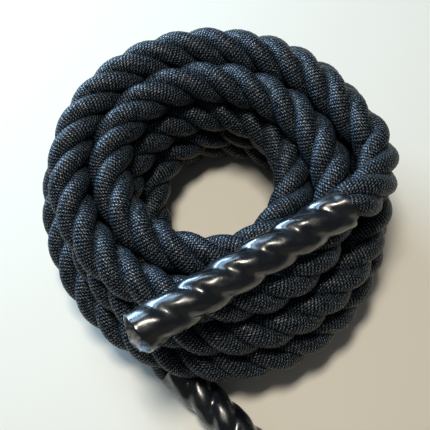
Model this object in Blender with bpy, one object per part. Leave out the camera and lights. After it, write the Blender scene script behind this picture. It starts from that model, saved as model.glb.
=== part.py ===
# A battle rope put away in a round coil, with a shrink sleeve grip on each end.
# Metres, +Z up. The coil stands on z = 0, and the origin is under the middle of the whole object.

import math

import bmesh
import bpy
import numpy as np
from mathutils import Vector

# Rope
ROPE_DIAMETER = 0.038
ROPE_LAY = 0.096  # length in which a strand goes round the rope once
FLOOR_CUT_SHARE = 0.1  # of the rope's diameter, flattened where it lies on the floor
ROPE_SIDES = 6
TOUCH_GAP = 0.0003  # between pieces that touch on the real rope
LEAST_TURN_GAP = 0.0004

# Coil: the layers spiral in, out, in and out again, counted from the floor
LAYER_GAP = 0.0005  # between layers
LOOP_POINTS = 24
LAYER_STEPS = (48, 53, 60, 44)  # points in each layer
START_STEP = 15  # points round from +X to where the floor layer starts
CLIMB_TURNS = 0.5
EDGE_RADII = (0.1492, 0.0696, 0.1673, 0.0675, 0.1485)  # to the centre line, where layers start and end
LAYER_X = (0.0240, 0.0152, 0.0080, 0.0023)  # each layer's middle
LAYER_Y = (-0.0055, -0.0037, 0.0032, -0.0016)
LAYER_OVAL = (0.0015, -0.0005, -0.0004, 0.0024)  # further to the sides than to front and back
LAYER_SKEW = (-0.0015, -0.0007, 0.0015, -0.0036)  # the same, an eighth of a turn round

# Grip: a sleeve shrunk over the rope's end
GRIP_LENGTH = 0.208
LOBE_DEPTH = 0.0008  # either way from the sleeve's middle radius
SLEEVE_WALL = 0.0014
SLEEVE_CLEARANCE = 0.0007  # from a strand out to the sleeve's bore
LIP_FLARE = 0.0018  # from the sleeve's middle radius out to the lip's
LIP_LENGTH = 0.012  # the last stretch, which is round
LIP_RUN = 0.024  # over which the lobes open into the lip
SLEEVE_SIDES = 18
RING_STEP = 0.008

# Strands inside a grip
STRANDS = 3
STRAND_RADIUS = 0.0068
STRAND_CLEARANCE = 0.00117  # from a strand to the plane midway to its neighbour
JACKET_WALL = 0.0011
STRAND_SIDES = 6
END_RECESS = 0.003  # from the sleeve's lip in to the cut strands

# Top lead: from the last turn, up onto the pile and into the top grip, chosen by hand
TOP_ROUTE = ((0.1560, 0.0215), (0.1545, 0.0000), (0.1465, -0.0175), (0.1335, -0.0330))
TOP_CLIMB_SHARES = (0.075, 0.290, 0.558, 0.834)  # of the way up from the last turn to the grip
TOP_MOUTH = (0.1173, -0.0444)
TOP_REST_GAP = 0.0002  # from the top layer up to the grip
TOP_HEADING = 211.9  # degrees from +X, the way that the grip lies from its mouth
TOP_HINGE_BACK = 0.006  # from the mouth back along the lead to the bend

# Floor lead: from the floor layer's start to the floor grip
FLOOR_MOUTH = (-0.0345, -0.1586)
FLOOR_HEADING = -45.7
FLOOR_HINGE_BACK = 0.010

LEAD_STEP = 0.010
LEAD_END_RUN = 0.004  # straight, square to what the lead meets
LEAD_SIDES = 8
SQUEEZED_RADIUS = 0.0166  # of the rope where it meets the sleeve
SQUEEZE_RUN = 0.020
TANGENT_STEP = 0.001  # of a turn
SAME_POINT = 0.00001

BLACK_BRAID = (0.020, 0.022, 0.026, 1)
BRAID_ROUGHNESS = 0.62
PALE_FIBRE = (0.46, 0.44, 0.40, 1)
FIBRE_ROUGHNESS = 0.85
BLACK_SLEEVE = (0.014, 0.015, 0.017, 1)
SLEEVE_ROUGHNESS = 0.22

ROPE_RADIUS = ROPE_DIAMETER / 2
FLOOR_HEIGHT = ROPE_RADIUS - ROPE_DIAMETER * FLOOR_CUT_SHARE
LAYER_PITCH = ROPE_DIAMETER + LAYER_GAP
TOP_HEIGHT = FLOOR_HEIGHT + LAYER_PITCH * (len(LAYER_STEPS) - 1)
REVERSALS = [sum(LAYER_STEPS[: n + 1]) / LOOP_POINTS for n in range(len(LAYER_STEPS))]

# Three strands side by side, and the sleeve's middle radius round them
STRAND_OFFSET = (STRAND_RADIUS + STRAND_CLEARANCE) / math.sin(math.pi / STRANDS)
LOBE_RADIUS = STRAND_OFFSET + STRAND_RADIUS + SLEEVE_CLEARANCE + SLEEVE_WALL
GRIP_RADIUS = LOBE_RADIUS - LOBE_DEPTH
LIP_RADIUS = GRIP_RADIUS + LIP_FLARE
TOP_GRIP_HEIGHT = TOP_HEIGHT + ROPE_RADIUS + TOP_REST_GAP + LOBE_RADIUS
FLOOR_GRIP_HEIGHT = LOBE_RADIUS + TOUCH_GAP
FLOOR_GRIP_RISE = LIP_RADIUS - LOBE_RADIUS  # of the grip's axis from mouth to lip


def clear_scene():
    for obj in list(bpy.data.objects):
        bpy.data.objects.remove(obj, do_unlink=True)


def make_material(name, colour, roughness):
    material = bpy.data.materials.new(name)
    material.use_nodes = True
    shader = material.node_tree.nodes["Principled BSDF"]
    shader.inputs["Base Color"].default_value = colour
    shader.inputs["Roughness"].default_value = roughness
    shader.inputs["Metallic"].default_value = 0
    return material


def ease(share):
    """Goes smoothly from 0 to 1."""
    share = min(max(share, 0), 1)
    return share * share * (3 - 2 * share)


def between_layers(values, climbed):
    return float(np.interp(climbed, range(len(values)), values))


def coil_point(turn):
    """A point of the coil's centre line. The rope goes round clockwise, seen from above."""
    climbed = sum(ease((turn - at) / CLIMB_TURNS + 0.5) for at in REVERSALS[:-1])
    angle = math.tau * (START_STEP / LOOP_POINTS - turn)
    radius = float(np.interp(turn, [0] + REVERSALS, EDGE_RADII))
    radius += between_layers(LAYER_OVAL, climbed) * math.cos(2 * angle)
    radius += between_layers(LAYER_SKEW, climbed) * math.sin(2 * angle)
    return Vector(
        (
            between_layers(LAYER_X, climbed) + radius * math.cos(angle),
            between_layers(LAYER_Y, climbed) + radius * math.sin(angle),
            FLOOR_HEIGHT + LAYER_PITCH * climbed,
        )
    )


def coil_route():
    """The whole coil, with a straight run of one diameter at each end."""
    steps = sum(LAYER_STEPS)
    points = [coil_point(step / LOOP_POINTS) for step in range(steps + 1)]
    start_way = (coil_point(0) - coil_point(TANGENT_STEP)).normalized()
    end_way = (coil_point(REVERSALS[-1]) - coil_point(REVERSALS[-1] - TANGENT_STEP)).normalized()
    first = points[0] + start_way * ROPE_DIAMETER
    last = points[-1] + end_way * ROPE_DIAMETER
    return [first] + points + [last], start_way, end_way


def least_gap(points):
    """The least room between the rope's turns."""
    line = np.array([tuple(point) for point in points])
    apart = LOOP_POINTS // 3
    least = math.inf
    starts, ends = line[:-1], line[1:]
    for index in range(len(line)):
        far = np.abs(np.arange(len(starts)) - index) > apart
        along = ends[far] - starts[far]
        share = np.sum((line[index] - starts[far]) * along, axis=1) / np.sum(along * along, axis=1)
        nearest = starts[far] + along * np.clip(share, 0, 1)[:, None]
        least = min(least, float(np.min(np.linalg.norm(nearest - line[index], axis=1))))
    return least - ROPE_DIAMETER


def smooth_route(stops, start_way, end_way, step):
    """A smooth curve through hand-chosen stops, leaving and arriving in the given directions."""
    ways = [start_way]
    for before, after in zip(stops[:-2], stops[2:]):
        ways.append((after - before).normalized())
    ways.append(end_way)
    points = [stops[0]]
    for stop, following, way, next_way in zip(stops[:-1], stops[1:], ways[:-1], ways[1:]):
        length = (following - stop).length
        pieces = max(round(length / step), 1)
        for piece in range(1, pieces + 1):
            share = piece / pieces
            square, cube = share**2, share**3
            points.append(
                stop * (2 * cube - 3 * square + 1)
                + following * (3 * square - 2 * cube)
                + way * length * (cube - 2 * square + share)
                + next_way * length * (cube - square)
            )
    return points


def lead_route(start, start_way, stops, mouth, way):
    """From the coil's end to the sleeve's mouth, face to face with both."""
    bent = [start + start_way * LEAD_END_RUN]
    bent += [Vector(stop) for stop in stops]
    bent += [mouth - way * LEAD_END_RUN]
    route = [start + start_way * TOUCH_GAP]
    route += smooth_route(bent, start_way, way, LEAD_STEP)
    return route + [mouth - way * TOUCH_GAP]


def finish_mesh(name, mesh, material, origin=Vector()):
    work = bmesh.new()
    work.from_mesh(mesh)
    bmesh.ops.remove_doubles(work, verts=work.verts, dist=SAME_POINT)
    for vertex in work.verts:
        vertex.co.z = max(vertex.co.z, 0)
    bmesh.ops.recalc_face_normals(work, faces=work.faces)
    bmesh.ops.triangulate(work, faces=work.faces)
    bmesh.ops.translate(work, verts=work.verts, vec=-origin)
    work.to_mesh(mesh)
    work.free()
    mesh.polygons.foreach_set("use_smooth", [True] * len(mesh.polygons))
    mesh.materials.clear()
    mesh.materials.append(material)
    obj = bpy.data.objects.new(name, mesh)
    obj.location = origin
    bpy.context.scene.collection.objects.link(obj)
    return obj


def make_tube(name, points, radii, sides, material):
    """A rope-thick tube along a line of points. What would reach under the floor is pressed flat."""
    curve = bpy.data.curves.new(name, "CURVE")
    curve.dimensions = "3D"
    curve.twist_mode = "Z_UP"
    curve.bevel_depth = ROPE_RADIUS
    curve.bevel_resolution = sides // 2 - 2
    curve.use_fill_caps = True
    spline = curve.splines.new("POLY")
    spline.points.add(len(points) - 1)
    for spline_point, point, radius in zip(spline.points, points, radii):
        spline_point.co = (*point, 1)
        spline_point.radius = radius / ROPE_RADIUS
    drawn = bpy.data.objects.new(name + "_line", curve)
    bpy.context.scene.collection.objects.link(drawn)
    bpy.context.view_layer.update()
    mesh = bpy.data.meshes.new_from_object(drawn.evaluated_get(bpy.context.evaluated_depsgraph_get()))
    bpy.data.objects.remove(drawn, do_unlink=True)
    mesh.name = name
    return finish_mesh(name, mesh, material)


def lead_radii(points):
    """Full rope, squeezed in towards the sleeve over the last stretch."""
    left = [(point - points[-1]).length for point in points]
    return [SQUEEZED_RADIUS + (ROPE_RADIUS - SQUEEZED_RADIUS) * ease(away / SQUEEZE_RUN) for away in left]


def ring_stations(length):
    count = round(length / RING_STEP)
    return [length * ring / count for ring in range(count + 1)]


def grip_frame(mouth, height, heading, rise):
    """The grip's mouth, its direction, and two directions across it."""
    angle = math.radians(heading)
    way = Vector((math.cos(angle), math.sin(angle), rise / GRIP_LENGTH)).normalized()
    aside = way.cross(Vector((0, 0, 1))).normalized()
    return Vector((*mouth, height)), way, aside, way.cross(aside)


def place(frame, along, radius, angle):
    mouth, way, aside, up = frame
    return mouth + way * along + (aside * math.cos(angle) + up * math.sin(angle)) * radius


def closed_body(name, skins, material, origin):
    """A solid from rings. One skin is capped at its ends, and two are joined there as outside and bore."""
    vertices = [point for rings in skins for ring in rings for point in ring]
    faces = []
    offset = 0
    edges = []
    for rings in skins:
        sides = len(rings[0])
        for ring in range(len(rings) - 1):
            for side in range(sides):
                near = offset + ring * sides
                far = near + sides
                after = (side + 1) % sides
                faces.append((near + side, near + after, far + after, far + side))
        last = offset + (len(rings) - 1) * sides
        edges.append((offset, last, sides))
        offset = last + sides
    if len(skins) == 1:
        first, last, sides = edges[0]
        faces.append(tuple(range(first, first + sides)))
        faces.append(tuple(range(last, last + sides)))
    else:
        (first, last, sides), (bore_first, bore_last, bore_sides) = edges
        for outer, inner in ((first, bore_first), (last, bore_last)):
            for side in range(sides):
                after = (side + 1) % sides
                faces.append((outer + side, outer + after, inner + after, inner + side))
    mesh = bpy.data.meshes.new(name)
    mesh.from_pydata([tuple(vertex) for vertex in vertices], [], faces)
    return finish_mesh(name, mesh, material, origin)


def make_sleeve(name, frame, turned, material, origin):
    """Thin, and drawn in round the strands, so it has their lobes up to its round lip."""
    skins = []
    for inset in (0, SLEEVE_WALL):
        rings = []
        for along in ring_stations(GRIP_LENGTH):
            lip = ease((along - (GRIP_LENGTH - LIP_LENGTH - LIP_RUN)) / LIP_RUN)
            twist = turned + math.tau * along / ROPE_LAY
            middle = GRIP_RADIUS + (LIP_RADIUS - GRIP_RADIUS) * lip
            ring = []
            for side in range(SLEEVE_SIDES):
                angle = math.tau * side / SLEEVE_SIDES
                radius = middle + LOBE_DEPTH * (1 - lip) * math.cos(STRANDS * angle) - inset
                ring.append(place(frame, along, radius, angle + twist))
            rings.append(ring)
        skins.append(rings)
    return closed_body(name, skins, material, origin)


def strand_rings(frame, turned, radius):
    """Six-sided rings along one strand of the lay, each square to the strand."""
    rings = []
    for along in ring_stations(GRIP_LENGTH - END_RECESS):
        twist = turned + math.tau * along / ROPE_LAY
        slope = math.tau * STRAND_OFFSET / ROPE_LAY
        mouth, way, aside, up = frame
        outward = aside * math.cos(twist) + up * math.sin(twist)
        sideways = way.cross(outward)
        centre = mouth + way * along + outward * STRAND_OFFSET
        ring = []
        for side in range(STRAND_SIDES):
            angle = math.tau * (side + 0.5) / STRAND_SIDES
            out = radius * math.cos(angle)
            over = radius * math.sin(angle)
            ring.append(centre + outward * out + sideways * over * math.sqrt(1 + slope * slope))
        rings.append(ring)
    return rings


def make_strands(prefix, frame, turned, jacket_material, core_material, origin):
    made = []
    for number in range(STRANDS):
        start = turned + math.tau * number / STRANDS
        outside = strand_rings(frame, start, STRAND_RADIUS)
        bore = strand_rings(frame, start, STRAND_RADIUS - JACKET_WALL)
        core = strand_rings(frame, start, STRAND_RADIUS - JACKET_WALL - TOUCH_GAP)
        jacket_name = f"{prefix}_strand_jacket_{number + 1}"
        core_name = f"{prefix}_strand_core_{number + 1}"
        made.append(closed_body(jacket_name, (outside, bore), jacket_material, origin))
        made.append(closed_body(core_name, (core,), core_material, origin))
    return made


def centre_on_origin(objects):
    """Moves the object so that its origin is under the middle of its box."""
    bpy.context.view_layer.update()
    corners = np.array([tuple(obj.matrix_world @ vertex.co) for obj in objects for vertex in obj.data.vertices])
    low, high = corners.min(axis=0), corners.max(axis=0)
    shift = Vector((-(low[0] + high[0]) / 2, -(low[1] + high[1]) / 2, -low[2]))
    for obj in objects:
        obj.location = obj.location + shift
    print("box", [round(float(value) * 1000, 2) for value in high - low])
    print("shift", [round(value * 1000, 3) for value in shift])
    return shift


def build():
    clear_scene()
    braid = make_material("black_braid", BLACK_BRAID, BRAID_ROUGHNESS)
    sleeve = make_material("black_shrink_sleeve", BLACK_SLEEVE, SLEEVE_ROUGHNESS)
    fibre = make_material("pale_fibre", PALE_FIBRE, FIBRE_ROUGHNESS)

    points, start_way, end_way = coil_route()
    gap = least_gap(points)
    print("least gap between turns, mm", round(gap * 1000, 3), "wanted over", LEAST_TURN_GAP * 1000)
    made = [make_tube("rope_coil", points, [ROPE_RADIUS] * len(points), ROPE_SIDES, braid)]

    top_frame = grip_frame(TOP_MOUTH, TOP_GRIP_HEIGHT, TOP_HEADING, 0)
    mouth, way = top_frame[0], top_frame[1]
    climb = TOP_GRIP_HEIGHT - TOP_HEIGHT
    stops = [(*stop, TOP_HEIGHT + climb * share) for stop, share in zip(TOP_ROUTE, TOP_CLIMB_SHARES)]
    lead = lead_route(points[-1], end_way, stops, mouth, way)
    made.append(make_tube("top_lead", lead, lead_radii(lead), LEAD_SIDES, braid))
    top_hinge = mouth - way * TOP_HINGE_BACK

    floor_frame = grip_frame(FLOOR_MOUTH, FLOOR_GRIP_HEIGHT, FLOOR_HEADING, FLOOR_GRIP_RISE)
    mouth, way = floor_frame[0], floor_frame[1]
    floor_lead = lead_route(points[0], start_way, (), mouth, way)
    made.append(make_tube("floor_lead", floor_lead, lead_radii(floor_lead), LEAD_SIDES, braid))
    floor_hinge = mouth - way * FLOOR_HINGE_BACK

    for prefix, frame, turned, hinge in (
        ("top", top_frame, 0, top_hinge),
        ("floor", floor_frame, 0, floor_hinge),
    ):
        made.append(make_sleeve(f"{prefix}_grip_sleeve", frame, turned, sleeve, hinge))
        made += make_strands(prefix, frame, turned, braid, fibre, hinge)

    shift = centre_on_origin(made)
    for name, hinge in (("top hinge", top_hinge), ("floor hinge", floor_hinge)):
        print(name, [round(value, 5) for value in hinge + shift])
    rope = sum((after - before).length for before, after in zip(points[:-1], points[1:]))
    for route in (lead, floor_lead):
        rope += sum((after - before).length for before, after in zip(route[:-1], route[1:]))
    print("rope with both ends, m", round(rope + 2 * (GRIP_LENGTH - END_RECESS), 3))
    print("ways", [round(value, 4) for value in start_way], [round(value, 4) for value in end_way])


build()
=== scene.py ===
import math

import bpy
import numpy as np
from mathutils import Matrix, Vector


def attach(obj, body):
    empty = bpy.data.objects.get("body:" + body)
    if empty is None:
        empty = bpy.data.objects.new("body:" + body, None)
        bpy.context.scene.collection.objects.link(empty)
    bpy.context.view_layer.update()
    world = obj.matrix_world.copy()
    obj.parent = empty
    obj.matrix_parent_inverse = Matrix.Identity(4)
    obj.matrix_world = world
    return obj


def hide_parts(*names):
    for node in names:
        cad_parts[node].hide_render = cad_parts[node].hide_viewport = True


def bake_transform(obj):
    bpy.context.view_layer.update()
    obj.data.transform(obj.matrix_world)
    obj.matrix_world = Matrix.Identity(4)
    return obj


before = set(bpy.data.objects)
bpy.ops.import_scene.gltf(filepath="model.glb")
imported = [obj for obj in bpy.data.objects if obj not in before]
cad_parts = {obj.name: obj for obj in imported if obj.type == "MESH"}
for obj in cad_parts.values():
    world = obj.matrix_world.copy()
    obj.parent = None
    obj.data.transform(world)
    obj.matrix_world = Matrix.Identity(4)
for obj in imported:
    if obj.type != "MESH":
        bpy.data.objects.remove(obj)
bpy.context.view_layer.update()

# Places on the rope were measured from near the coil's middle. This moves them to the frame's origin,
# which is under the middle of the whole object
toFrame = np.array([-0.004231, 0.069030, 0.0])


def linear(hexColour):
    # sRGB hex to linear RGBA
    parts = [int(hexColour[i:i + 2], 16) / 255 for i in (1, 3, 5)]
    return tuple(p / 12.92 if p <= 0.04045 else ((p + 0.055) / 1.055) ** 2.4 for p in parts) + (1.0,)


def ease(share):
    # Smoothly from 0 to 1
    share = np.clip(share, 0, 1)
    return share * share * (3 - 2 * share)


def unit(v):
    return v / np.linalg.norm(v, axis=-1, keepdims=True)


def lengthAlong(points):
    return np.concatenate([[0], np.cumsum(np.linalg.norm(np.diff(points, axis=0), axis=1))])


# Camera: nearly overhead, looking along +Y
view = {
    "place": (0.0004, -0.2143, 0.8004),
    "downTilt": 69.86,  # degrees under the horizon
    "roll": -0.25,  # degrees
    "sensorWidth": 36,  # mm
    "imagePixels": 430,  # across the image
    "focalPixels": 780,
}


def makeCamera(s):
    data = bpy.data.cameras.new("photoCamera")
    data.sensor_width = s["sensorWidth"]
    data.lens = s["sensorWidth"] * s["focalPixels"] / s["imagePixels"]
    camera = bpy.data.objects.new("photoCamera", data)
    tilt, roll = math.radians(s["downTilt"]), math.radians(s["roll"])
    forward = Vector((0, math.cos(tilt), -math.sin(tilt)))
    right, up = Vector((1, 0, 0)), Vector((0, math.sin(tilt), math.cos(tilt)))
    turnedRight = right * math.cos(roll) + up * math.sin(roll)
    turnedUp = up * math.cos(roll) - right * math.sin(roll)
    camera.matrix_world = Matrix((turnedRight, turnedUp, -forward)).transposed().to_4x4()
    camera.location = s["place"]
    bpy.context.scene.collection.objects.link(camera)
    bpy.context.scene.camera = camera


makeCamera(view)
print("camera made")


# The rope's way, in metres: four layers of turns, and a lead to each grip
coil = {
    "loopPoints": 24,  # steps in a turn
    "layerSteps": (48, 53, 60, 44),  # in each layer, the floor layer first
    "startStep": 15,  # steps round from +X to where the floor layer starts
    "climbTurns": 0.5,  # in which the rope climbs to the next layer
    "edgeRadii": (0.1492, 0.0730, 0.1673, 0.0712, 0.1485),  # to the rope's middle, where layers start and end
    "layerX": (0.0240, 0.0152, 0.0080, 0.0023),  # each layer's middle
    "layerY": (-0.0055, -0.0037, 0.0032, -0.0016),
    "layerOval": (0.0015, -0.0005, -0.0004, 0.0024),  # further to the sides than to front and back
    "layerSkew": (-0.0015, -0.0007, 0.0015, -0.0036),  # the same, an eighth of a turn round
    "floorHeight": 0.0198,  # of the rope's middle, higher than in the CAD, which is pressed flat below
    "topHeight": 0.1307,
    "wobble": 0.0009,  # no turn is quite round
    "wobbleWaves": ((1.0, 5.3, 1.0), (0.6, 17.9, 2.0)),  # share, radians in a turn, radians at the start
    "tuck": 0.0045,  # the top layer's inner turn is pushed out against the outer one at the back left
    "tuckTowards": 2.1,  # radians round from +X
    "tuckRadius": 0.125,  # turns that are narrower than this are pushed
    "tuckFade": 0.03,
    "heightWobble": 0.0005,  # no layer is quite level
    "heightWave": 11.7,  # radians in a turn
    "onFloor": 0.01,  # layers climbed, up to which the rope lies on the floor
    "endRun": 0.038,  # straight, at each end
    "endPoints": 24,
    "points": 4000,
    "tangentTurns": 0.001,  # over which the coil's direction is measured
}
topLead = {
    # Places between the coil's end and the sleeve's mouth
    "route": (
        (0.1560, 0.0215, 0.1335),
        (0.1545, 0.0000, 0.1415),
        (0.1465, -0.0175, 0.1515),
        (0.1335, -0.0330, 0.1618),
    ),
    "mouth": (0.1173, -0.0444, 0.1680),  # where the rope goes into the sleeve
    "heading": 211.9,  # degrees from +X, the way that the grip lies from its mouth
    "rise": 0.0,
}
floorLead = {
    "route": (),  # so short that it needs none
    "mouth": (-0.0345, -0.1586, 0.0184),
    "heading": -45.7,
    "rise": 0.0010,  # from mouth to lip
}
grip = {"length": 0.208, "strandLength": 0.202}  # the strands end a little way inside the lip
fineStep = 0.0016  # between points of the rope's way


def coilPoint(turn):
    # A place on the coil's middle line, so many turns from its start on the floor
    s = coil
    layers = range(len(s["layerSteps"]))
    reversals = np.cumsum(s["layerSteps"]) / s["loopPoints"]
    climbed = sum(ease((turn - at) / s["climbTurns"] + 0.5) for at in reversals[:-1])
    angle = math.tau * (s["startStep"] / s["loopPoints"] - turn)
    radius = np.interp(turn, [0, *reversals], s["edgeRadii"])
    radius = radius + np.interp(climbed, layers, s["layerOval"]) * np.cos(2 * angle)
    radius = radius + np.interp(climbed, layers, s["layerSkew"]) * np.sin(2 * angle)
    for share, wave, start in s["wobbleWaves"]:
        radius = radius + s["wobble"] * share * np.sin(wave * turn + start)
    pushed = ease((s["tuckRadius"] - radius) / s["tuckFade"]) * ease(climbed - layers[-2])
    radius = radius + s["tuck"] * pushed * (0.5 + 0.5 * np.cos(angle - s["tuckTowards"])) ** 2
    height = s["floorHeight"] + (s["topHeight"] - s["floorHeight"]) * climbed / layers[-1]
    height = height + s["heightWobble"] * (np.sin(s["heightWave"] * turn) + 1) * (climbed > s["onFloor"])
    x = np.interp(climbed, layers, s["layerX"]) + radius * np.cos(angle)
    y = np.interp(climbed, layers, s["layerY"]) + radius * np.sin(angle)
    return np.stack([x, y, height], axis=-1)


def smoothRoute(stops, startWay, endWay, step):
    # Cubic pieces through the stops
    stops = [np.array(p, float) for p in stops]
    ways = [startWay] + [unit(c - a) for a, c in zip(stops[:-2], stops[2:])] + [endWay]
    points = [stops[0][None]]
    for a, b, wayA, wayB in zip(stops[:-1], stops[1:], ways[:-1], ways[1:]):
        length = np.linalg.norm(b - a)
        t = np.linspace(0, 1, max(int(length / step), 1) + 1)[1:, None]
        points.append(
            a * (2 * t**3 - 3 * t**2 + 1) + b * (3 * t**2 - 2 * t**3)
            + wayA * length * (t**3 - 2 * t**2 + t) + wayB * length * (t**3 - t**2)
        )
    return np.concatenate(points)


def gripWay(s):
    angle = math.radians(s["heading"])
    return unit(np.array([math.cos(angle), math.sin(angle), s["rise"] / grip["length"]]))


def ropeRoute():
    # The whole rope from the floor grip's end to the top grip's end, and where each stretch begins along it
    turns = sum(coil["layerSteps"]) / coil["loopPoints"]
    wound = coilPoint(np.linspace(0, turns, coil["points"]))
    level = (1, 1, 0)  # the rope leaves the coil level
    startWay = unit((coilPoint(0.0) - coilPoint(coil["tangentTurns"])) * level)
    endWay = unit((coilPoint(turns) - coilPoint(turns - coil["tangentTurns"])) * level)
    first, last = wound[0] + startWay * coil["endRun"], wound[-1] + endWay * coil["endRun"]
    floorMouth, topMouth = np.array(floorLead["mouth"]), np.array(topLead["mouth"])
    floorWay, topWay = gripWay(floorLead), gripWay(topLead)
    floorBend = smoothRoute([first, *floorLead["route"], floorMouth], startWay, floorWay, fineStep)
    topBend = smoothRoute([last, *topLead["route"], topMouth], endWay, topWay, fineStep)
    inGrip = np.arange(0, grip["strandLength"], fineStep)[1:, None]
    straight = np.linspace(0, 1, coil["endPoints"])[1:, None]
    stretches = {
        "floorGrip": (floorMouth + floorWay * inGrip)[::-1],
        "floorLead": floorBend[::-1],
        "firstRun": first + (wound[0] - first) * straight,
        "turns": wound[1:],
        "lastRun": wound[-1] + (last - wound[-1]) * straight,
        "topLead": topBend[1:],
        "topGrip": topMouth + topWay * inGrip,
    }
    points = np.concatenate(list(stretches.values()))
    along = lengthAlong(points)
    lastPoints = np.cumsum([len(stretch) for stretch in stretches.values()]) - 1
    ends = dict(zip(stretches, along[lastPoints]))
    marks = {
        "floorMouth": ends["floorGrip"],
        "coilStart": ends["floorLead"],
        "coilEnd": ends["lastRun"],
        "topMouth": ends["topLead"],
    }
    even = np.linspace(0, along[-1], int(along[-1] / fineStep) + 1)
    spaced = np.stack([np.interp(even, along, points[:, k]) for k in range(3)], axis=1)
    return spaced + toFrame, even, marks


route, along, marks = ropeRoute()
print("rope way laid,", round(float(along[-1]), 3), "m")


# Strands: three, laid to the right round the rope's middle
lay = {
    "strands": 3,
    "length": 0.096059,  # of one turn of a strand
    "turned": 0.35,  # turns, where the lay starts
    "drift": ((0.02, 5.1, 0.0), (0.01, 13.7, 1.0)),  # turns, radians in a metre, radians at the start
    "offset": 0.0103,  # from the rope's middle to a strand's
    "radius": 0.0099,
    "uneven": 0.018,  # share of the radius
    "unevenWave": 61,  # radians in a metre
    "unevenApart": 2.1,  # radians from strand to strand
    "squeezedOffset": 0.0090,  # in the sleeves
    "squeezedRadius": 0.0070,
    "squeezeRun": 0.020,
    "squeezeInside": 0.008,  # of that run, within the sleeve
    "coreShare": 0.86,  # of the radius, within the jacket
    "sides": 16,
    "ring": 2,  # points of the way for each ring
    # The braid's yarns and rows are really 1 to 1.5 mm wide, and are drawn about 2 to 2.5 mm wide to show
    "yarnsRound": 30,
    "yarnPitch": 0.0051,  # of two rows
}


def layTurn(place):
    # Turns of the lay up to a place along the rope; no rope is laid quite evenly
    turn = lay["turned"] + place / lay["length"]
    for share, wave, start in lay["drift"]:
        turn = turn + share * np.sin(place * wave + start)
    return turn


def strandLine(number):
    # The middle of one strand, its radius, and the direction away from the rope's middle
    way = unit(np.gradient(route, axis=0))
    aside = unit(np.cross(way, (0, 0, 1)))
    down = np.cross(way, aside)
    turn = layTurn(along) + number / lay["strands"]
    inSleeve = np.maximum(
        1 - ease((along - marks["floorMouth"] + lay["squeezeInside"]) / lay["squeezeRun"]),
        1 - ease((marks["topMouth"] - along + lay["squeezeInside"]) / lay["squeezeRun"]),
    )
    offset = lay["offset"] + (lay["squeezedOffset"] - lay["offset"]) * inSleeve
    radius = lay["radius"] + (lay["squeezedRadius"] - lay["radius"]) * inSleeve
    wave = np.sin(along * lay["unevenWave"] + number * lay["unevenApart"])
    radius = radius * (1 + lay["uneven"] * wave * (1 - inSleeve))
    outward = aside * np.cos(math.tau * turn)[:, None] + down * np.sin(math.tau * turn)[:, None]
    middle = route + outward * offset[:, None]
    return {
        "middle": middle,
        "radius": radius,
        "outward": outward,
        "way": unit(np.gradient(middle, axis=0)),
        "along": lengthAlong(middle),
    }


strands = [strandLine(number) for number in range(lay["strands"])]


def tubeSkin(rings, yarnsRound, yarnPitch):
    # A tube from rings of points; its UV counts yarns round and pitches along
    count, sides = rings.shape[:2]
    i, j = np.meshgrid(np.arange(count - 1), np.arange(sides), indexing="ij")
    nearRing, farRing, nextJ = i * sides, (i + 1) * sides, (j + 1) % sides
    faces = np.stack([nearRing + j, nearRing + nextJ, farRing + nextJ, farRing + j], axis=-1)
    distance = lengthAlong(rings.mean(axis=1))
    u0, u1 = j / sides * yarnsRound, (j + 1) / sides * yarnsRound
    v0, v1 = distance[i] / yarnPitch, distance[i + 1] / yarnPitch
    corners = [np.stack(corner, axis=-1) for corner in ((u0, v0), (u1, v0), (u1, v1), (u0, v1))]
    return rings.reshape(-1, 3), faces.reshape(-1, 4), np.stack(corners, axis=2).reshape(-1, 2)


def strandSkin(number, low, high, scale=1.0):
    # One strand's skin between two places along the rope
    strand = strands[number]
    last = min(np.searchsorted(along, high), len(along) - 1)
    kept = np.arange(np.searchsorted(along, low), last + 1)
    picked = np.unique(np.append(kept[:: lay["ring"]], kept[-1]))
    outward, tangent = strand["outward"][picked], strand["way"][picked]
    out = unit(outward - tangent * np.sum(outward * tangent, axis=1)[:, None])
    over = np.cross(tangent, out)
    angle = math.pi + math.tau * np.arange(lay["sides"])[:, None] / lay["sides"]
    across = out[:, None] * np.cos(angle) + over[:, None] * np.sin(angle)
    rings = strand["middle"][picked][:, None] + (strand["radius"][picked] * scale)[:, None, None] * across
    rings[..., 2] = np.maximum(rings[..., 2], 0)  # pressed flat where it lies on the floor
    vertices, faces, uv = tubeSkin(rings, lay["yarnsRound"], lay["yarnPitch"])
    uv[:, 1] += strand["along"][picked[0]] / lay["yarnPitch"]
    return vertices, faces, uv


def meshObject(name, skins, material):
    points, faces, uvs, offset = [], [], [], 0
    for vertices, quads, uv in skins:
        points.append(vertices)
        faces.append(quads + offset)
        uvs.append(uv)
        offset += len(vertices)
    mesh = bpy.data.meshes.new(name)
    mesh.from_pydata(np.concatenate(points).tolist(), [], np.concatenate(faces).tolist())
    layer = mesh.uv_layers.new(name="braid")
    layer.uv.foreach_set("vector", np.concatenate(uvs).astype(np.float32).ravel())
    mesh.polygons.foreach_set("use_smooth", [True] * len(mesh.polygons))
    mesh.materials.append(material)
    obj = bpy.data.objects.new(name, mesh)
    bpy.context.scene.collection.objects.link(obj)
    return obj


def newMaterial(name):
    material = bpy.data.materials.new(name)
    material.use_nodes = True
    return material, material.node_tree, material.node_tree.nodes["Principled BSDF"]


def node(tree, kind, settings=(), links=()):
    # Adds a node with its settings and links
    made = tree.nodes.new(kind)
    for name, value in dict(settings).items():
        if isinstance(name, int) or name in made.inputs:
            made.inputs[name].default_value = value
        else:
            setattr(made, name, value)
    for name, source in dict(links).items():
        tree.links.new(source, made.inputs[name])
    return made


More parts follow.
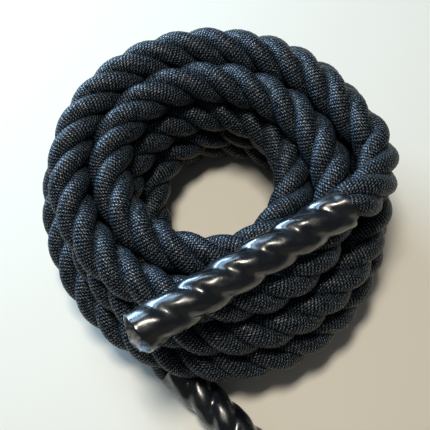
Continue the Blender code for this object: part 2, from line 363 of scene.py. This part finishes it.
# Braided polyester multifilament, dyed black: a yarn is hundreds of glossy filaments. Its base colour has
# a painted highlight, glints in the window's blue on the yarns' tops, and painted shade, black at their sides
braidedPolyester = {
    # painted shade: the colour in the gaps at the yarns' sides
    "gap": "#050608",
    "yarn": "#0a0d10",
    # painted highlight: the pale blue painted into the yarns' tops where they glint
    "paintedGlint": "#8ba2b6",
    # Waves of the slanted yarns for each yarn round and each pitch along. They close round a strand where
    # the first, times yarnsRound, is whole
    "slant": (0.7, 2.2),
    "rows": (0.0, 2.0),  # the same for the straight rows
    "rowShare": 0.42,  # straight rows against slanted yarns
    "patchMm": 6.67,  # about three yarns; in a patch, the yarns that slant one way lie on top
    "patches": {"From Min": 0.42, "From Max": 0.58, "To Min": 0.2, "To Max": 0.8},
    "waverMm": 1.613,  # a little under a yarn's width
    "waver": 0.2,  # of a yarn's width and of a pitch, from one side to the other
    # From a yarn's side to its top, in the waves' values
    "heights": {"From Min": -0.5, "From Max": 0.9, "interpolation_type": "SMOOTHSTEP"},
    "bumpHeight": 0.0003,
    "glintMm": 1.111,  # filaments are about 0.02 mm thick, so bundles of them are drawn this coarse to show
    "glints": {"From Min": 0.40, "From Max": 0.72},
    "glintPower": 2.0,  # keeps glints to the yarns' tops
    "shine": (0.05, 2.3),  # specular level between yarns, and what a glint adds
    "roughness": 0.42,
    "ior": 1.57,
    "sheen": 0.005,
    "sheenTint": "#9fb4cc",
    "sheenRoughness": 0.4,
}


def makeBraid(s):
    material, tree, shader = newMaterial("braidedPolyester")
    uv = node(tree, "ShaderNodeUVMap", {"uv_map": "braid"})
    place = node(tree, "ShaderNodeTexCoord").outputs["Object"]
    waver = node(tree, "ShaderNodeTexNoise", {"Scale": 1000 / s["waverMm"], "Detail": 1.0}, {"Vector": place})
    centred = node(
        tree,
        "ShaderNodeVectorMath",
        {"operation": "SUBTRACT", 1: (0.5, 0.5, 0.5)},
        {0: waver.outputs["Color"]},
    )
    shifted = node(
        tree,
        "ShaderNodeVectorMath",
        {"operation": "MULTIPLY_ADD", 1: (s["waver"],) * 3},
        {0: centred.outputs[0], 2: uv.outputs[0]},
    )
    waves = []
    for across, pitch in (s["slant"], (-s["slant"][0], s["slant"][1]), s["rows"]):
        phase = node(
            tree,
            "ShaderNodeVectorMath",
            {"operation": "DOT_PRODUCT", 1: (across * math.tau, pitch * math.tau, 0)},
            {0: shifted.outputs[0]},
        )
        wave = node(tree, "ShaderNodeMath", {"operation": "COSINE"}, {0: phase.outputs["Value"]})
        waves.append(wave.outputs[0])
    patch = node(tree, "ShaderNodeTexNoise", {"Scale": 1000 / s["patchMm"], "Detail": 1.0}, {"Vector": place})
    patchShare = node(tree, "ShaderNodeMapRange", s["patches"], {"Value": patch.outputs["Fac"]})
    slanted = node(tree, "ShaderNodeMix", (), {0: patchShare.outputs[0], 2: waves[0], 3: waves[1]})
    mixed = node(tree, "ShaderNodeMix", {0: s["rowShare"]}, {2: slanted.outputs[0], 3: waves[2]})
    height = node(tree, "ShaderNodeMapRange", s["heights"], {"Value": mixed.outputs[0]})
    speck = node(tree, "ShaderNodeTexNoise", {"Scale": 1000 / s["glintMm"], "Detail": 2.0}, {"Vector": place})
    speckShare = node(tree, "ShaderNodeMapRange", s["glints"], {"Value": speck.outputs["Fac"]})
    top = node(tree, "ShaderNodeMath", {"operation": "POWER", 1: s["glintPower"]}, {0: height.outputs[0]})
    shineAndPaintedGlintShare = node(
        tree,
        "ShaderNodeMath",
        {"operation": "MULTIPLY"},
        {0: speckShare.outputs[0], 1: top.outputs[0]},
    )
    shine = node(
        tree,
        "ShaderNodeMath",
        {"operation": "MULTIPLY_ADD", 1: s["shine"][1], 2: s["shine"][0]},
        {0: shineAndPaintedGlintShare.outputs[0]},
    )
    # Painted shade: the colour darkens from the yarns' tops to the gaps at their sides
    paintedShadeBase = node(
        tree,
        "ShaderNodeMix",
        {"data_type": "RGBA", 6: linear(s["gap"]), 7: linear(s["yarn"])},
        {0: height.outputs[0]},
    )
    # Painted highlight: the pale blue glint colour painted over the yarns' tops
    paintedGlintColour = node(
        tree,
        "ShaderNodeMix",
        {"data_type": "RGBA", 7: linear(s["paintedGlint"])},
        {0: shineAndPaintedGlintShare.outputs[0], 6: paintedShadeBase.outputs[2]},
    )
    bump = node(
        tree,
        "ShaderNodeBump",
        {"Distance": s["bumpHeight"], "Strength": 1.0},
        {"Height": height.outputs[0]},
    )
    tree.links.new(paintedGlintColour.outputs[2], shader.inputs["Base Color"])
    tree.links.new(bump.outputs[0], shader.inputs["Normal"])
    tree.links.new(shine.outputs[0], shader.inputs["Specular IOR Level"])
    shader.inputs["Roughness"].default_value = s["roughness"]
    shader.inputs["IOR"].default_value = s["ior"]
    shader.inputs["Sheen Weight"].default_value = s["sheen"]
    shader.inputs["Sheen Tint"].default_value = linear(s["sheenTint"])
    shader.inputs["Sheen Roughness"].default_value = s["sheenRoughness"]
    return material


# Heat-shrink polyolefin tube: smooth from the die and shrunk tight, so it shows long soft highlights
# over each strand, broken where it shrank unevenly
shrinkPolyolefin = {
    "colour": "#0d1217",
    # Roughness from 0.18, and up to 0.42 where it shrank unevenly
    "roughness": {"From Min": 0.4, "From Max": 0.62, "To Min": 0.18, "To Max": 0.42},
    "flowMm": 14.29,  # dents, as wide as a strand in the sleeve
    "flowHeight": 0.0008,
    "wrinkleMm": 2.381,  # fine wrinkles, about twice the wall's thickness
    "wrinkleHeight": 0.00009,
    "skin": 0.85,  # share of the milky outer skin
    "skinRoughness": 0.22,
}


def makeShrink(s):
    material, tree, shader = newMaterial("shrinkPolyolefin")
    place = node(tree, "ShaderNodeTexCoord").outputs["Object"]
    flow = node(tree, "ShaderNodeTexNoise", {"Scale": 1000 / s["flowMm"], "Detail": 3.0}, {"Vector": place})
    wrinkle = node(
        tree,
        "ShaderNodeTexNoise",
        {"Scale": 1000 / s["wrinkleMm"], "Detail": 2.0},
        {"Vector": place},
    )
    wide = node(
        tree,
        "ShaderNodeBump",
        {"Distance": s["flowHeight"], "Strength": 1.0},
        {"Height": flow.outputs["Fac"]},
    )
    fine = node(
        tree,
        "ShaderNodeBump",
        {"Distance": s["wrinkleHeight"], "Strength": 1.0},
        {"Height": wrinkle.outputs["Fac"], "Normal": wide.outputs[0]},
    )
    rough = node(tree, "ShaderNodeMapRange", s["roughness"], {"Value": flow.outputs["Fac"]})
    tree.links.new(fine.outputs[0], shader.inputs["Normal"])
    tree.links.new(rough.outputs[0], shader.inputs["Roughness"])
    shader.inputs["Base Color"].default_value = linear(s["colour"])
    shader.inputs["Coat Weight"].default_value = s["skin"]
    shader.inputs["Coat Roughness"].default_value = s["skinRoughness"]
    return material


# Cut polyester fibre at the strands' ends: dull, with speckles of broken filament ends
cutFibre = {
    "dark": "#1a1b1d",
    "light": "#5b5c5e",
    "patternMm": 0.667,  # tufts; single filaments are too fine to show
    "patternDetail": 2.0,
    "mix": {"From Min": 0.45, "From Max": 0.7},
    "roughness": 0.8,
}

# Hot-melt lining of the sleeve's bore, which shows at the cut lip: half matt, painted pale grey
# for the reflection of light in it, with dark streaks
liningWithPaintedReflection = {
    "dark": "#3a3c3e",
    # painted reflection: both colours are pale for the light that the bore reflects
    "light": "#8d9093",
    "patternMm": 3.846,  # streaks, about three times the wall's thickness
    "patternDetail": 3.0,
    "mix": {"From Min": 0.35, "From Max": 0.6},
    "roughness": 0.4,
}


def makeSpeckled(name, s):
    # Two colours, mixed by a soft pattern
    material, tree, shader = newMaterial(name)
    place = node(tree, "ShaderNodeTexCoord").outputs["Object"]
    pattern = node(
        tree,
        "ShaderNodeTexNoise",
        {"Scale": 1000 / s["patternMm"], "Detail": s["patternDetail"]},
        {"Vector": place},
    )
    share = node(tree, "ShaderNodeMapRange", s["mix"], {"Value": pattern.outputs["Fac"]})
    mix = node(
        tree,
        "ShaderNodeMix",
        {"data_type": "RGBA", 6: linear(s["dark"]), 7: linear(s["light"])},
        {0: share.outputs[0]},
    )
    tree.links.new(mix.outputs[2], shader.inputs["Base Color"])
    shader.inputs["Roughness"].default_value = s["roughness"]
    return material


braid = makeBraid(braidedPolyester)
shrink = makeShrink(shrinkPolyolefin)
fibre = makeSpeckled("cutFibre", cutFibre)
lining = makeSpeckled("liningWithPaintedReflection", liningWithPaintedReflection)


# The rope: its coil, and the two leads that run to the grips
rope = {
    "diameter": 0.040,  # over the strands' tops
    "intoSleeve": 0.004,  # how far a lead's end is hidden in the sleeve's mouth
    "pathStep": 3,  # points of the way for each point of the cord's path
}


def makeLead(name, nodeName, coilMark, mouthMark):
    hidden = math.copysign(rope["intoSleeve"], mouthMark - coilMark)
    low, high = sorted((coilMark, mouthMark + hidden))
    lead = meshObject(name, [strandSkin(number, low, high) for number in range(lay["strands"])], braid)
    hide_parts(nodeName)
    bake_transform(lead)
    return lead


def makeRope():
    start, end = marks["coilStart"], marks["coilEnd"]
    skins = [strandSkin(number, start, end) for number in range(lay["strands"])]
    wound = meshObject("ropeCoil", skins, braid)
    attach(wound, "coil")
    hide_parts("rope_coil")
    leads = [
        makeLead("topLead", "top_lead", end, marks["topMouth"]),
        makeLead("floorLead", "floor_lead", start, marks["floorMouth"]),
    ]


makeRope()
print("rope and leads made")


# Sleeves, shrunk over the strands at each end
sleeve = {
    "middle": 0.0176,  # midway between lobes and grooves
    "wall": 0.0012,
    "lobe": 0.0015,
    "grooveShare": 0.22,  # of the lobe, by which grooves are deeper and narrower than lobes
    "lobeSwell": 0.1,  # share of the lobe that comes and goes along the sleeve
    "lobeSwellWave": 130,  # radians in a metre
    "lobeSwellStart": 1,
    "ripple": 0.00018,
    "rippleRound": 9,  # waves round the sleeve
    "rippleTwist": 55,  # radians in a metre
    "rippleWave": 210,  # the same, for the ripple's height
    "mouthFlare": 0.0014,  # where it opens over the full rope
    "mouthRun": 0.011,
    "lip": 0.0190,
    "lipRun": 0.030,
    "lipOpenShare": 0.8,  # of the run, after which the lip is fully open
    "lipRoundShare": 0.85,  # of the lobes that is gone at the lip
    # The end is cut by hand. This is how far it stands past its length at each twelfth round, seen from
    # the end and counted from the left side over the top
    "lipCut": (
        0.0025, 0.0020, 0.0016, 0.0012, -0.0005, -0.0028,
        -0.0026, 0.0010, 0.0055, 0.0085, 0.0070, 0.0045,
    ),
    "lipCutShare": 1 / 3,  # of the length, which the cut end stretches
    "sides": 96,
    "rings": 130,
    "uvLength": 0.1,  # of sleeve for each unit of its UV
}


def sleeveRings(s, lead, turnAt, inset):
    mouth = np.array(lead["mouth"]) + toFrame
    way = gripWay(lead)
    aside = unit(np.cross(way, (0, 0, 1)))
    up = np.cross(aside, way)
    share = np.linspace(0, 1, s["rings"])[:, None]
    angle = (math.tau * np.arange(s["sides"]) / s["sides"])[None]
    cut = np.array(s["lipCut"] + s["lipCut"][:1])
    place = angle / math.tau * len(s["lipCut"])
    near = place.astype(int)
    past = cut[near] + (cut[near + 1] - cut[near]) * ease(place - near)
    distance = share * (grip["length"] + past * ease((share - 1) / s["lipCutShare"] + 1))
    opened = ease((distance - (grip["length"] - s["lipRun"])) / (s["lipRun"] * s["lipOpenShare"]))
    roundLobes = lay["strands"] * (angle - turnAt(distance))
    lobes = np.cos(roundLobes) - s["grooveShare"] * np.cos(2 * roundLobes)
    swell = 1 - s["lobeSwell"] + s["lobeSwell"] * np.sin(distance * s["lobeSwellWave"] + s["lobeSwellStart"])
    lobes = lobes * s["lobe"] * (1 - s["lipRoundShare"] * opened) * swell
    flare = s["mouthFlare"] * (1 - ease(distance / s["mouthRun"]))
    ripple = np.sin(s["rippleRound"] * angle + distance * s["rippleTwist"])
    ripple = s["ripple"] * ripple * np.sin(distance * s["rippleWave"])
    radius = s["middle"] + (s["lip"] - s["middle"]) * opened + lobes + flare - inset + ripple
    direction = aside * np.cos(angle)[..., None] + up * np.sin(angle)[..., None]
    points = mouth + way * distance[..., None] + direction * radius[..., None]
    points[..., 2] = np.maximum(points[..., 2], inset)  # pressed flat where it lies on the floor
    return points


def makeSleeve(side, lead, mouthMark, sign):
    # The sign is 1 where the rope's way runs from mouth to lip, and -1 where it runs from lip to mouth
    def turnAt(distance):
        # The lay of the strands in the sleeve's own angles
        turn = math.tau * layTurn(mouthMark + sign * distance)
        return -turn if sign > 0 else math.pi + turn

    outside, bore = (sleeveRings(sleeve, lead, turnAt, inset) for inset in (0.0, sleeve["wall"]))
    skin = tubeSkin(np.concatenate([outside, bore[::-1]]), 1, sleeve["uvLength"])
    made = meshObject(f"{side}Sleeve", [skin], shrink)
    made.data.materials.append(lining)
    outsideFaces = (sleeve["rings"] - 1) * sleeve["sides"]
    slots = (np.arange(len(made.data.polygons)) >= outsideFaces).astype(int)
    made.data.polygons.foreach_set("material_index", slots)
    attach(made, f"{side}_grip")
    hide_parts(f"{side}_grip_sleeve")


makeSleeve("top", topLead, marks["topMouth"], 1)
makeSleeve("floor", floorLead, marks["floorMouth"], -1)


def capEnd(piece, atLastRing):
    # Closes one end of a tube with a face across its ring
    mesh = piece.data
    count, sides = len(mesh.vertices), lay["sides"]
    first = count - sides if atLastRing else 0
    points = [tuple(vertex.co) for vertex in mesh.vertices]
    faces = [tuple(face.vertices) for face in mesh.polygons] + [tuple(range(first, first + sides))]
    mesh.clear_geometry()
    mesh.from_pydata(points, [], faces)
    mesh.update()


def makeGripStrands(side, low, high, cutAtHigh):
    # The jackets inside the sleeve, and the fibre cores that show at the cut end
    for number in range(lay["strands"]):
        jacket = meshObject(f"{side}Jacket{number + 1}", [strandSkin(number, low, high)], braid)
        core = meshObject(f"{side}Core{number + 1}", [strandSkin(number, low, high, lay["coreShare"])], fibre)
        capEnd(core, cutAtHigh)
        for piece, kind, slot in ((jacket, "jacket", "black_braid"), (core, "core", "pale_fibre")):
            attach(piece, f"{side}_grip")
            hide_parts(f"{side}_strand_{kind}_{number + 1}")


makeGripStrands("top", marks["topMouth"] + rope["intoSleeve"], float(along[-1]), True)
makeGripStrands("floor", 0.0, marks["floorMouth"] - rope["intoSleeve"], False)
print("sleeves made")


# Floor and light: a low window at the left behind the rope, the sky in it, a lamp overhead, and a little
# light back from the room in front
room = {
    "floor": "#f1ebdd",
    "floorRoughness": 0.55,  # half matt, like painted concrete
    "floorReach": 3,  # metres to each side
    "world": "#dfe6ee",
    "worldStrength": 0.1,
    "lights": {
        "window": {"place": (-1.33, 1.34, 0.46), "size": (1.2, 0.4), "watts": 62, "colour": "#aed4f6"},
        "sky": {"place": (-0.82, 1.06, 1.1), "size": (0.9, 0.4), "watts": 11, "colour": "#bcdcf8"},
        "lamp": {"place": (-0.16, 0.22, 1.9), "size": (0.45, 0.3), "watts": 22, "colour": "#fff8ea"},
        "bounce": {"place": (0.5, -1.5, 0.7), "size": (1.6, 0.8), "watts": 0.4, "colour": "#ffdfb4"},
    },
}


def makeFloor(s):
    material, _, shader = newMaterial("paintedFloor")
    shader.inputs["Base Color"].default_value = linear(s["floor"])
    shader.inputs["Roughness"].default_value = s["floorRoughness"]
    reach = s["floorReach"]
    corners = [(-reach, -reach, 0), (reach, -reach, 0), (reach, reach, 0), (-reach, reach, 0)]
    mesh = bpy.data.meshes.new("floor")
    mesh.from_pydata(corners, [], [(0, 1, 2, 3)])
    mesh.materials.append(material)
    floor = bpy.data.objects.new("floor", mesh)
    bpy.context.scene.collection.objects.link(floor)


def makeWorld(s):
    world = bpy.data.worlds.new("studio")
    world.use_nodes = True
    background = world.node_tree.nodes["Background"]
    background.inputs["Color"].default_value = linear(s["world"])
    background.inputs["Strength"].default_value = s["worldStrength"]
    bpy.context.scene.world = world
    bpy.context.scene.view_settings.view_transform = "Standard"


def makeLight(name, s):
    data = bpy.data.lights.new(name, "AREA")
    data.shape = "RECTANGLE"
    data.size, data.size_y = s["size"]
    data.energy = s["watts"]
    data.color = linear(s["colour"])[:3]
    light = bpy.data.objects.new(name, data)
    light.location = s["place"]
    light.rotation_euler = (-Vector(s["place"])).to_track_quat("-Z", "Y").to_euler()  # aimed at the rope
    bpy.context.scene.collection.objects.link(light)


makeFloor(room)
makeWorld(room)
for lightName, settings in room["lights"].items():
    makeLight(lightName, settings)
print("room made")
